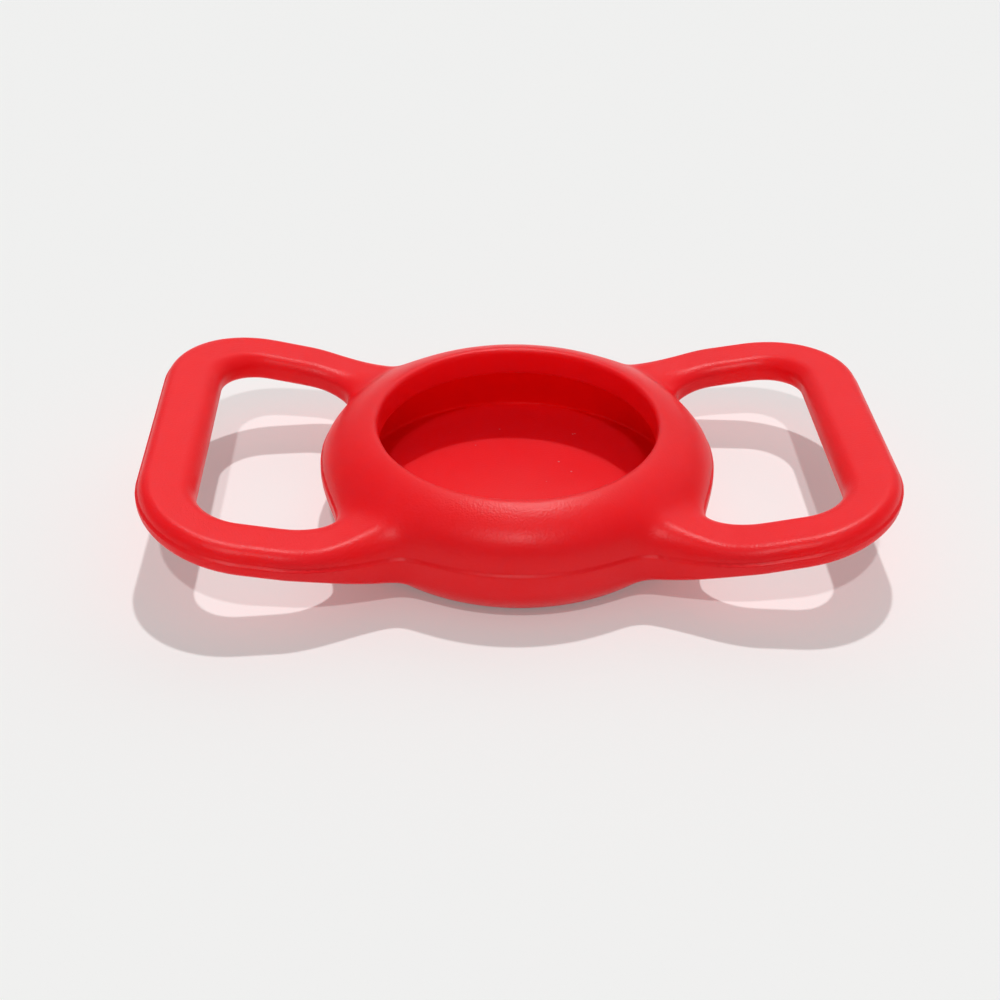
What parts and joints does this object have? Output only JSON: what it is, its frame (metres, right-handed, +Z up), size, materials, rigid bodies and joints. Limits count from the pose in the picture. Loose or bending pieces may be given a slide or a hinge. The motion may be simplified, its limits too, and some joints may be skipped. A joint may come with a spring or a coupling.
{
  "type": "tracker tag holder",
  "caption": "Round silicone cup that grips a disc-shaped tracker tag under an inward lip, with a flexible loop on each side to thread a collar or strap through.",
  "frame": {"origin": "under the cup's centre, on the surface that the holder stands on", "axes": "+Z up out of the cup's mouth, +X along the strap to the right loop, -Y to the front"},
  "size_m": [0.065, 0.035, 0.01],
  "materials": {
    "red_silicone": "satin moulded silicone rubber"
  },
  "bodies": {
    "cup": {"cup_floor": "red_silicone", "cup_wall": "red_silicone", "retaining_lip": "red_silicone", "left_front_arm": "red_silicone", "left_rear_arm": "red_silicone", "right_front_arm": "red_silicone", "right_rear_arm": "red_silicone"},
    "left_loop": {"left_crossbar": "red_silicone"},
    "right_loop": {"right_crossbar": "red_silicone"}
  },
  "joints": [
    {"name": "left_loop_flex", "type": "hinge", "parent": "cup", "child": "left_loop", "pos_m": [-0.02134, 0, 0.00662], "axis": [0, 1, 0], "range_deg": [-35, 60], "stiffness_Nm_per_rad": 0.01},
    {"name": "right_loop_flex", "type": "hinge", "parent": "cup", "child": "right_loop", "pos_m": [0.02134, 0, 0.00662], "axis": [0, -1, 0], "range_deg": [-35, 60], "stiffness_Nm_per_rad": 0.01}
  ]
}
